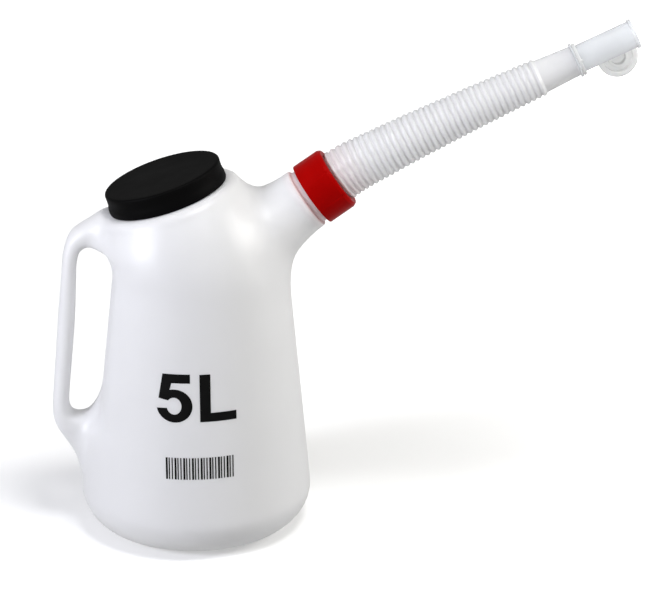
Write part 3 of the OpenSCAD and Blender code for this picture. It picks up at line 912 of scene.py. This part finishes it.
def hosePath():
    # the hose's middle line from the neck's mouth to the cuff's mouth
    total = (hose["firstCrest"] - hose["foot"] + (hose["ribCount"] - 0.5) * hose["pitch"]
             + hose["cuffLen"])
    count = int(round(total / hose["pitch"] * hose["pathStepsPerRib"]))
    step, points = total / count, [neckRoot + neckDir * hose["foot"]]
    for k in range(count):
        rib = ((k + 0.5) * step + hose["foot"] - hose["firstCrest"]) / hose["pitch"]
        turn = sum(bend * float(ease((rib - middle) / hose["bendSpread"] + 0.5))
                   for middle, bend in hose["bends"])
        tilt = jug["neckTilt"] - turn
        points.append(points[-1] + direction(tilt) * step)
    return points, total, tilt


def hoseTree():
    n = ShapeTree("corrugatedHose", length=0.24, footLength=0.0085, flangeRadius=0.023,
                  flangeThickness=0.0024, footRadius=0.0217, endRadius=0.0155, cuffRadius=0.0122,
                  ribDepth=0.0018, ribPitch=0.00475, ribCount=38, wall=0.0012, boreRadius=0.01118,
                  boreLength=0.0205, steps=480, sides=56)
    rows = n["steps"] * 2.0 + 1.0
    grid = n.add("GeometryNodeMeshGrid", Size_X=1.0, Size_Y=1.0, Vertices_X=rows,
                 Vertices_Y=n["sides"] + 1.0)
    place = n.add("ShaderNodeSeparateXYZ", Vector=n.add("GeometryNodeInputPosition").outputs[0])
    row = round((Number(n, place.outputs["X"]) + 0.5) * (rows - 1.0))
    around = (Number(n, place.outputs["Y"]) + 0.5) * (2 * math.pi)
    # rows run out along the outside, back along the inside, and end on the first row again
    isLast = row > rows - 1.5
    isInside = (row > n["steps"] - 0.5) * (row < rows - 1.5)
    station = mix(mix(row, rows - 2.0 - row, isInside), 0.0, isLast)
    s = station / (n["steps"] - 1.0) * n["length"]
    rib = (s - n["footLength"]) / n["ribPitch"]
    lastRib = n["ribCount"] - 1.0
    crest = mix(n["footRadius"], n["endRadius"], (rib / lastRib).atLeast(0.0).atMost(1.0))
    valley = (abs(rib - round(rib)) * 2.0) ** hose["valleyPower"]
    ribbed = crest - n["ribDepth"] * valley
    # before the first rib a plain foot with its flange, and after the last one the tapering cuff
    footWall = n["footRadius"] - n["ribDepth"]
    flanged = mix(footWall, n["flangeRadius"], s < n["flangeThickness"])
    cuffStart = n["footLength"] + (lastRib + 0.5) * n["ribPitch"]
    cuff = mix(n["endRadius"] - n["ribDepth"], n["cuffRadius"],
               (s - cuffStart) / (n["length"] - cuffStart))
    isFoot, isCuff = rib < -0.5, s > cuffStart
    outside = mix(mix(ribbed, flanged, isFoot), cuff, isCuff)
    plain = mix(mix(ribbed, footWall, isFoot), cuff, isCuff)
    inside = mix(plain - n["wall"], n["boreRadius"], s > n["length"] - n["boreLength"])
    radius = mix(outside, inside, isInside)
    spot = n.add("GeometryNodeSampleCurve", {"mode": "LENGTH"}, Curves=n["Geometry"], Length=s)
    # the path lies in the XZ plane, so a ring's two directions are Y and the tangent turned about Y
    across = n.vector("CROSS_PRODUCT", (0, 1, 0), spot.outputs["Tangent"])["Vector"]
    arm = n.vector("SCALE", across, Scale=radius * around.math("COSINE", around))["Vector"]
    sideways = n.add("ShaderNodeCombineXYZ", Y=radius * around.math("SINE", around))
    total = n.vector("ADD", spot.outputs["Position"], arm)["Vector"]
    final = n.vector("ADD", total, sideways.outputs[0])["Vector"]
    moved = n.add("GeometryNodeSetPosition", Geometry=grid.outputs[0], Position=final)
    welded = n.add("GeometryNodeMergeByDistance", Geometry=moved.outputs[0], Distance=0.000002)
    return n.end(welded.outputs[0])


def makeHose():
    points, total, tilt = hosePath()
    path = bpy.data.curves.new("hosePath", "CURVE")
    path.dimensions = "3D"
    line = path.splines.new("POLY")
    line.points.add(len(points) - 1)
    for spot, p in zip(line.points, points):
        spot.co = (p[0] * mm, 0, p[1] * mm, 1)
    mesh = runTree("hoseRun", path, hoseTree(), finishes["hose"], {
        "length": total, "footLength": hose["firstCrest"] - hose["foot"], "wall": hose["wall"],
        "flangeRadius": hose["flangeD"] / 2, "flangeThickness": hose["flangeT"],
        "footRadius": hose["footD"] / 2, "endRadius": hose["endD"] / 2,
        "cuffRadius": hose["cuffD"] / 2, "ribDepth": hose["ribDepth"], "ribPitch": hose["pitch"],
        "boreRadius": hose["boreR"], "boreLength": hose["boreLen"]},
        ribCount=hose["ribCount"], steps=int(total / hose["pitch"] * hose["stepsPerRib"]),
        sides=hose["sides"])
    piece = outward(finishPiece("flexibleHose", mesh, finishes["hose"], 80))
    return piece, points[-1], tilt


# making the pieces

finishes = {
    "jug": jugPlastic(),
    "lid": plastic("blackLidPlastic", [(0.0012, 0.0012, 0.0013), (0.002, 0.0019, 0.0019)], (0.5, 0.6),
                   (2600, 3, 0.6), 0.00006, 0.5, clouds=30, IOR=1.48, Specular_IOR_Level=0.04),
    "nut": plastic("redNutPlastic", [(0.29, 0.0010, 0.0008), (0.34, 0.0014, 0.0012)], (0.26, 0.36),
                   (700, 2), 0.00005, 0.5, clouds=40, IOR=1.5, Specular_IOR_Level=0.04,
                   Specular_Tint=(1.0, 0.2, 0.2, 1)),
    # the hose takes a painted red glow near the nut, for the nut's light shining through it
    "hose": plastic("milkyHosePlastic", [(0.95, 0.95, 0.965), (0.97, 0.97, 0.975)], (0.12, 0.19),
                    (420, 2), 0.00005, 0.08, paintedNutGlowShare=0.22, IOR=1.5, Transmission_Weight=0.4),
    "nozzle": plastic("clearNozzlePlastic", [(0.945, 0.96, 0.99), (0.965, 0.98, 0.995)], (0.12, 0.19),
                      (420, 2), 0.00005, 0.35, IOR=1.5, Transmission_Weight=0.6),
    "cap": plastic("clearCapPlastic", [(0.985, 0.99, 0.99), (0.99, 0.995, 0.995)], (0.16, 0.23),
                   (420, 2), 0.00005, 0.35, IOR=1.5, Transmission_Weight=0.5),
    "ink": printInk(),
}
print("materials:", ", ".join(finishes))

jugShell = makeJug()
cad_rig.ride(jugShell, "jug")
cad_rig.replaces(jugShell, "jug_body")
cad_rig.slot(jugShell, "jug")
print("jug:", len(jugShell.data.polygons), "faces")

hoseTube, cuffEnd, cuffTilt = makeHose()
onCuff = axisFrame(cuffEnd, cuffTilt)
print("hose:", len(hoseTube.data.polygons), "faces, cuff ends at", cuffEnd, "tilt", cuffTilt)

neckThread = makeThread("neckThread", spoutThread["neck"], finishes["jug"])
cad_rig.ride(neckThread, "jug")
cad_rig.slot(neckThread, "jug")

# the lid: matt black, with a rounded top edge and a skirt that flares in a faint S

lid = {"topR": 48.2, "lipR": 49.1, "low": 0.3, "top": 17.5, "inside": 14.6, "wall": 2.4, "edgeR": 2,
       "dish": [(0, 0.35), (30, 0.3), (42.7, 0.12)], "waist": 0.12, "flare": (0.45, 0.4)}


def lidProfile():
    edge, (flareFrom, flareOver) = lid["edgeR"], lid["flare"]
    outer = [(r, lid["top"] - deep) for r, deep in lid["dish"]]
    for a in np.radians(np.linspace(90, 0, 7)):
        outer.append((lid["topR"] - edge + edge * math.cos(a), lid["top"] - edge + edge * math.sin(a)))
    for u in np.linspace(0.1, 1, 9):
        r = (lid["topR"] - lid["waist"] * math.sin(math.pi * min(1, u * 1.5))
             + (lid["lipR"] - lid["topR"]) * float(ease((u - flareFrom) / flareOver)))
        outer.append((r, mix(lid["top"] - edge, lid["low"] + 1.0, u)))
    inner = lid["topR"] - lid["wall"]
    outer += [(lid["lipR"] - 0.25, lid["low"] + 0.25), (lid["lipR"] - 0.9, lid["low"]),
              (inner + 0.5, lid["low"]), (inner, lid["low"] + 0.5), (inner, lid["inside"] - 1),
              (inner - 1, lid["inside"] + 0.05), (0, lid["inside"] + 0.05)]
    return outer


lidShell = turnedPiece("fillerLid", lidProfile(), 160, onSeat, finishes["lid"], 50)
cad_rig.ride(lidShell, "lid")
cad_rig.replaces(lidShell, "filler_lid")
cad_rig.slot(lidShell, "lid")

# the union nut: gloss red, sharp behind and bevelled in front, with small moulding marks

nut = {"low": 4.8, "top": 30.0, "r": 26.95, "bevelLow": 27.2, "frontR": 25.5, "boreR": 23.75,
       "lipLow": 26.7, "holeR": 20.45, "marks": 7, "firstMarkDeg": -125, "markAt": 27.2,
       "markSize": (0.5, 1.02, 1.7), "markTurnDeg": 35}


def nutProfile():
    return roundCorners([
        (nut["boreR"], nut["low"]), (nut["r"], nut["low"]), (nut["r"] - 0.1, nut["bevelLow"]),
        (nut["frontR"], nut["top"]), (nut["holeR"], nut["top"]), (nut["holeR"], nut["lipLow"]),
        (nut["boreR"], nut["lipLow"])], [0.4, 0.3, 0.5, 0.6, 0.5, 0.3, 0.3], 5)


def makeNut():
    shell = turnedPiece("nutShell", nutProfile(), 144, onNeck, finishes["nut"], 50)
    for k in range(nut["marks"]):
        shape = bmesh.new()
        bmesh.ops.create_icosphere(shape, subdivisions=2, radius=1)
        place = Matrix.Rotation(math.radians(nut["firstMarkDeg"] + 360 / nut["marks"] * k), 4, "Z")
        place @= Matrix.Translation((nut["r"], 0, nut["markAt"]))
        place @= Matrix.Rotation(math.radians(nut["markTurnDeg"]), 4, "X")
        place @= Matrix.Diagonal((*nut["markSize"], 1))
        bmesh.ops.transform(shape, matrix=onNeck @ place, verts=shape.verts)
        points = [v.co * mm for v in shape.verts]
        faces = [[v.index for v in f.verts] for f in shape.faces]
        shape.free()
        cut(shell, addPiece("mark", points, faces, finishes["nut"]), "DIFFERENCE")
    return finished("nutShell", shell, finishes["nut"], 50)


nutShell = makeNut()
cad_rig.ride(nutShell, "nut")
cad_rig.replaces(nutShell, "spout_nut")
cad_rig.slot(nutShell, "nut")
nutThread = makeThread("nutThread", spoutThread["nut"], finishes["nut"])
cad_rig.ride(nutThread, "nut")
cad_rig.slot(nutThread, "nut")

# the nozzle: a clear tube with its stop collar and a lip at the mouth

nozzle = {"r": 11.1, "wall": 2.6, "in": 20, "collarR": 14, "collarT": 1.8, "len": 50.6,
          "lipR": 12.1, "lipT": 2.8}


def nozzleProfile():
    r, bore, end = nozzle["r"], nozzle["r"] - nozzle["wall"], nozzle["collarT"] + nozzle["len"]
    return roundCorners([
        (bore, -nozzle["in"]), (r - 0.6, -nozzle["in"]), (r, -nozzle["in"] + 1.2), (r, 0),
        (nozzle["collarR"], 0), (nozzle["collarR"], nozzle["collarT"]), (r, nozzle["collarT"]),
        (r, end - nozzle["lipT"]), (nozzle["lipR"], end - nozzle["lipT"] + 0.3),
        (nozzle["lipR"], end), (bore, end)],
        [0.3, 0.3, 0.3, 0.15, 0.5, 0.5, 0.4, 0.5, 0.6, 0.8, 0.6], 4)


nozzleTube = turnedPiece("nozzleTube", nozzleProfile(), 96, onCuff, finishes["nozzle"], 50)
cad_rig.ride(nozzleTube, "nozzle")
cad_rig.replaces(nozzleTube, "nozzle")
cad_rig.slot(nozzleTube, "nozzle")

# the closing cap on its ring and strap

cap = {
    "ringMid": 3.28, "ringW": 2.8, "ringR": 11.18, "ringWall": 2.0, "along": 29.5, "drop": 16.0,
    "low": 11.6, "top": 17.6, "floor": 1.4, "r": 16.4, "rimW": 4.4, "rimH": 0.3, "grooveR": 12.2,
    "plugR": 8.2, "plugWall": 2.2, "plugH": 5.6, "sides": 96,
    "strapW": 6.0, "strapT": 1.2, "strapY": 12.6, "strapLap": 2.2, "strapEdgeR": 0.45,
    "strapWaist": 0.22, "strapRows": 15, "tabs": (-98, -10), "tabIn": 0.8, "tabLow": 0.6,
    # a tab's points: outwards, sideways and along the ring's axis
    "tabWedge": [(0.4, -1.1, 0), (0.4, 1.1, 0), (1.5, 0, 0), (0.4, -0.9, 2.6), (0.4, 0.9, 2.6),
                 (0.7, 0, 3.4)],
}


def makeRing():
    half, inner, outer = cap["ringW"] / 2, cap["ringR"], cap["ringR"] + cap["ringWall"]
    profile = roundCorners([(inner, -half), (outer, -half), (outer, half), (inner, half)],
                           [0.2, 0.7, 0.7, 0.2])
    middle = onCuff @ Matrix.Translation((0, 0, cap["ringMid"]))
    made = [turnedPiece("ring", profile, cap["sides"], middle, finishes["cap"])]
    # two small tabs on the ring, where its halves of the mould met
    for angle in cap["tabs"]:
        spot = Matrix.Translation((outer - cap["tabIn"], 0, cap["ringMid"] - cap["tabLow"]))
        points = placed(cap["tabWedge"], onCuff @ Matrix.Rotation(math.radians(angle), 4, "Z") @ spot)
        faces = [(0, 1, 2), (5, 4, 3), (0, 3, 4, 1), (1, 4, 5, 2), (2, 5, 3, 0)]
        made.append(outward(addPiece("tab", points, faces, finishes["cap"])))
    return made


def makeDisc():
    # the disc's axis runs away from the nozzle, along y
    top, low, r, plugR = cap["top"], cap["low"], cap["r"], cap["plugR"]
    inner, hollowR = top - cap["floor"], plugR - cap["plugWall"]
    end, dish = inner - cap["plugH"], top - cap["rimH"]
    profile = roundCorners([
        (0, dish), (r - cap["rimW"] - 0.6, dish), (r - cap["rimW"], top), (r, top), (r, low),
        (cap["grooveR"], low), (cap["grooveR"], inner), (plugR, inner), (plugR, end),
        (hollowR, end), (hollowR, inner), (0, inner)],
        [0, 0.3, 0.4, 1.4, 1.2, 0.8, 0.5, 0.5, 0.8, 0.6, 0.5, 0], 5)
    middle = onCuff @ Matrix.Translation((cap["drop"], 0, cap["ringMid"] + cap["along"]))
    place = middle @ Matrix.Rotation(math.radians(-90), 4, "X")
    return turnedPiece("disc", profile, cap["sides"], place, finishes["cap"])


def makeStrap():
    # leaves the ring's side and lands in the disc's rim
    a = math.atan2(cap["drop"], cap["along"])
    long = math.hypot(cap["along"], cap["drop"]) - cap["grooveR"] - cap["strapLap"]
    w, t, rows = cap["strapW"] / 2, cap["strapT"] / 2, cap["strapRows"]
    section = roundCorners([(-w, -t), (w, -t), (w, t), (-w, t)], [cap["strapEdgeR"]] * 4, 3)
    points, count = [], len(section)
    for u in np.linspace(0, 1, rows):
        for x, y in section:
            along, side = u * long, x * (1 - cap["strapWaist"] * math.sin(math.pi * u))
            points.append((along * math.sin(a) + side * math.cos(a), cap["strapY"] + t + y,
                           cap["ringMid"] + along * math.cos(a) - side * math.sin(a)))
    faces = [list(range(count))[::-1], [(rows - 1) * count + i for i in range(count)]]
    for k in range(0, (rows - 1) * count, count):
        for i in range(count):
            j = (i + 1) % count
            faces.append([k + i, k + j, k + count + j, k + count + i])
    return outward(addPiece("strap", placed(points, onCuff), faces, finishes["cap"]))


def makeCap():
    ring, *tabs = makeRing()
    return merged("closingCap", [ring, makeDisc(), makeStrap(), *tabs], finishes["cap"], 50)


closingCap = makeCap()
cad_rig.ride(closingCap, "cap")
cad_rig.replaces(closingCap, "closing_cap")
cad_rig.slot(closingCap, "cap")

# the hose bends between its first and last ribs, about the joint in its middle

stillFirst, stillLast = hose["stillRibs"]
bendStart = neckRoot + neckDir * (hose["firstCrest"] + stillFirst * hose["pitch"])
bendEnd = cuffEnd - direction(cuffTilt) * (hose["cuffLen"] + stillLast * hose["pitch"])
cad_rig.blend(hoseTube, "spout", "nozzle", start=(bendStart[0] * mm, 0, bendStart[1] * mm),
         end=(bendEnd[0] * mm, 0, bendEnd[1] * mm))
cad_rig.replaces(hoseTube, "flexible_spout")
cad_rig.slot(hoseTube, "spout")
print("lid, nut, hose, nozzle and cap are in place")


# the print: a plain volume mark and a block of even stripes

mark = {"low": 121.0, "high": 160.0, "fiveX": -31.0, "ellX": 3.4}
stripes = {"left": -24.7, "right": 30.7, "low": 73.2, "high": 91.2, "count": 24, "narrow": 0.4,
           "wide": 0.66, "wideEvery": 3}
# how far the ink stands out of the wall and reaches into it, in metres, and the cuts that let it follow
ink = {"lift": 0.00013, "sink": 0.0001, "cutsX": (-40, 40), "cutsZ": (60, 170), "cutStep": 2,
       "cutShift": 0.37}


def arc(cx, cy, rx, ry, start, stop, steps):
    a = np.radians(np.linspace(start, stop, steps))
    return [(cx + rx * math.cos(v), cy + ry * math.sin(v)) for v in a]


def fiveOutline():
    return ([(0.135, 1.01), (0.69, 1.01), (0.69, 0.82), (0.31, 0.82)]
            + arc(0.365, 0.338, 0.365, 0.35, 105, -170, 30)
            + arc(0.355, 0.336, 0.152, 0.18, -165, 140, 24) + [(0.045, 0.49)])


def ellOutline():
    return [(0.0, 0.0), (0.74, 0.0), (0.74, 0.185), (0.22, 0.185), (0.22, 1.0), (0.0, 1.0)]


def printPiece(name, outlines, surface):
    shape = bmesh.new()
    for outline in outlines:
        shape.faces.new([shape.verts.new((x, 0, z)) for x, z in outline])
    for normal, reach in (((1, 0, 0), ink["cutsX"]), ((0, 0, 1), ink["cutsZ"])):
        for at in range(*reach, ink["cutStep"]):
            whole = [*shape.verts, *shape.edges, *shape.faces]
            bmesh.ops.bisect_plane(shape, geom=whole, plane_no=normal,
                                   plane_co=Vector(normal) * (at + ink["cutShift"]))
    bmesh.ops.triangulate(shape, faces=shape.faces)
    flat = [v.co * mm for v in shape.verts]
    shape.verts.index_update()
    triangles = [[v.index for v in f.verts] for f in shape.faces]
    edges = [(e.verts[0].index, e.verts[1].index) for e in shape.edges if len(e.link_faces) == 1]
    shape.free()
    # from in front of the jug each point is laid on its wall
    front, behind = [], []
    for p in flat:
        hit, normal, _, _ = surface.ray_cast(Vector((p.x, -0.2, p.z)), Vector((0, 1, 0)))
        front.append(hit + normal * ink["lift"])
        behind.append(hit - normal * ink["sink"])
    n = len(front)
    faces = triangles + [[i + n for i in t[::-1]] for t in triangles]
    faces += [[a, b, b + n, a + n] for a, b in edges]
    return outward(addPiece(name, front + behind, faces, finishes["ink"], 40))


def makePrint():
    tree = BVHTree.FromObject(jugShell, bpy.context.evaluated_depsgraph_get())
    size = mark["high"] - mark["low"]
    signs = [[(left + x * size, mark["low"] + z * size) for x, z in outline]
             for left, outline in ((mark["fiveX"], fiveOutline()), (mark["ellX"], ellOutline()))]
    step = (stripes["right"] - stripes["left"]) / stripes["count"]
    low, high, bars = stripes["low"], stripes["high"], []
    for i in range(stripes["count"]):
        x = stripes["left"] + step * i
        w = step * (stripes["narrow"] if i % stripes["wideEvery"] else stripes["wide"])
        bars.append([(x, low), (x + w, low), (x + w, high), (x, high)])
    for name, outlines in (("volumeMark", signs), ("stripeBlock", bars)):
        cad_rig.ride(printPiece(name, outlines, tree), "jug")


makePrint()
print("print: volume mark and stripes")


# floor, light and air

studio = {
    "floorR": 9.0, "floorColour": (0.93, 0.93, 0.93), "floorGlow": (0.1, 0.64), "glowFrom": (0.25, 1.3),
    "floorBounce": (0.15, 0.15, 0.15), "bounceGlow": 0.46,
    "worldColour": (1.0, 0.995, 0.985), "worldStrength": 0.36, "aim": (0.0, 0.0, 0.18),
    "lamps": [
        # name, place, size, watts, colour
        ("topBox", (0.45, -0.67, 2.2), 0.7, 20, (1.0, 1.0, 1.0)),
        ("leftBox", (-1.14, -0.68, 0.66), 0.55, 14, (0.89, 0.905, 1.0)),
        ("rightBox", (1.29, -0.16, 0.87), 0.55, 9.5, (1.0, 0.99, 0.95)),
    ],
}


def glowing(g, shader, strength):
    both = g.add("ShaderNodeAddShader")
    g.put(both.inputs[0], shader.outputs[0])
    g.put(both.inputs[1], g.add("ShaderNodeEmission", Strength=strength).outputs[0])
    return both.outputs[0]


def shownAs(g, output, thrown, seen):
    # one shader for what is seen, directly or through clear plastic, and one for the light thrown back
    ray = g.add("ShaderNodeLightPath").outputs
    either = Number(g, ray["Is Camera Ray"]).atLeast(ray["Is Transmission Ray"])
    choice = g.add("ShaderNodeMixShader")
    for socket, value in zip(choice.inputs, (either, thrown, seen)):
        g.put(socket, value)
    g.put(g.tree.nodes[output].inputs["Surface"], choice.outputs[0])


def makeFloor():
    f = Finish("paleFloor")
    pale = studio["floorColour"]
    colour = f.ramp(f.noise(3, 2), [(0.3, pale), (0.7, tuple(c * 1.01 for c in pale))])
    f.sets(Base_Color=colour, Roughness=0.9, Specular_IOR_Level=0.0)
    # the glow is low beside the jug, so that its shadow stays, and rises where the lamps don't reach
    away = f.vector("LENGTH", f.spot)["Value"]
    seen = glowing(f, f.shader, f.range(away, *studio["floorGlow"], *studio["glowFrom"]))
    bounce = f.add("ShaderNodeBsdfDiffuse", Color=(*studio["floorBounce"], 1))
    shownAs(f, "Material Output", glowing(f, bounce, studio["bounceGlow"]), seen)
    points = [(studio["floorR"] * math.cos(a), studio["floorR"] * math.sin(a), -0.0002)
              for a in np.radians(np.arange(0, 360, 5))]
    floor = addPiece("floor", points, [list(range(len(points)))], f.material)
    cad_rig.stage(floor)


def makeWorld():
    world = bpy.data.worlds.new("air")
    scene.world = world
    world.use_nodes = True
    g = Graph(world.node_tree)
    air = g.tree.nodes["Background"]
    air.inputs["Color"].default_value = (*studio["worldColour"], 1)
    air.inputs["Strength"].default_value = studio["worldStrength"]
    white = g.add("ShaderNodeBackground", Color=(1, 1, 1, 1), Strength=1.0)
    shownAs(g, "World Output", air.outputs[0], white.outputs[0])


def makeLamps():
    for name, place, size, watts, colour in studio["lamps"]:
        lamp = bpy.data.lights.new(name, "AREA")
        lamp.shape, lamp.size, lamp.energy, lamp.color = "DISK", size, watts, colour
        stand = bpy.data.objects.new(name, lamp)
        stand.location = place
        aim = Vector(studio["aim"]) - Vector(place)
        stand.rotation_euler = aim.to_track_quat("-Z", "Y").to_euler()
        scene.collection.objects.link(stand)


makeFloor()
makeWorld()
makeLamps()
print("studio: floor, world and", len(studio["lamps"]), "lamps")

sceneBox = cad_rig.bounds()
with open("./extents.json", "w") as sizes:
    json.dump({"cad": [list(p) for p in cadBox], "scene": [list(p) for p in sceneBox]}, sizes)
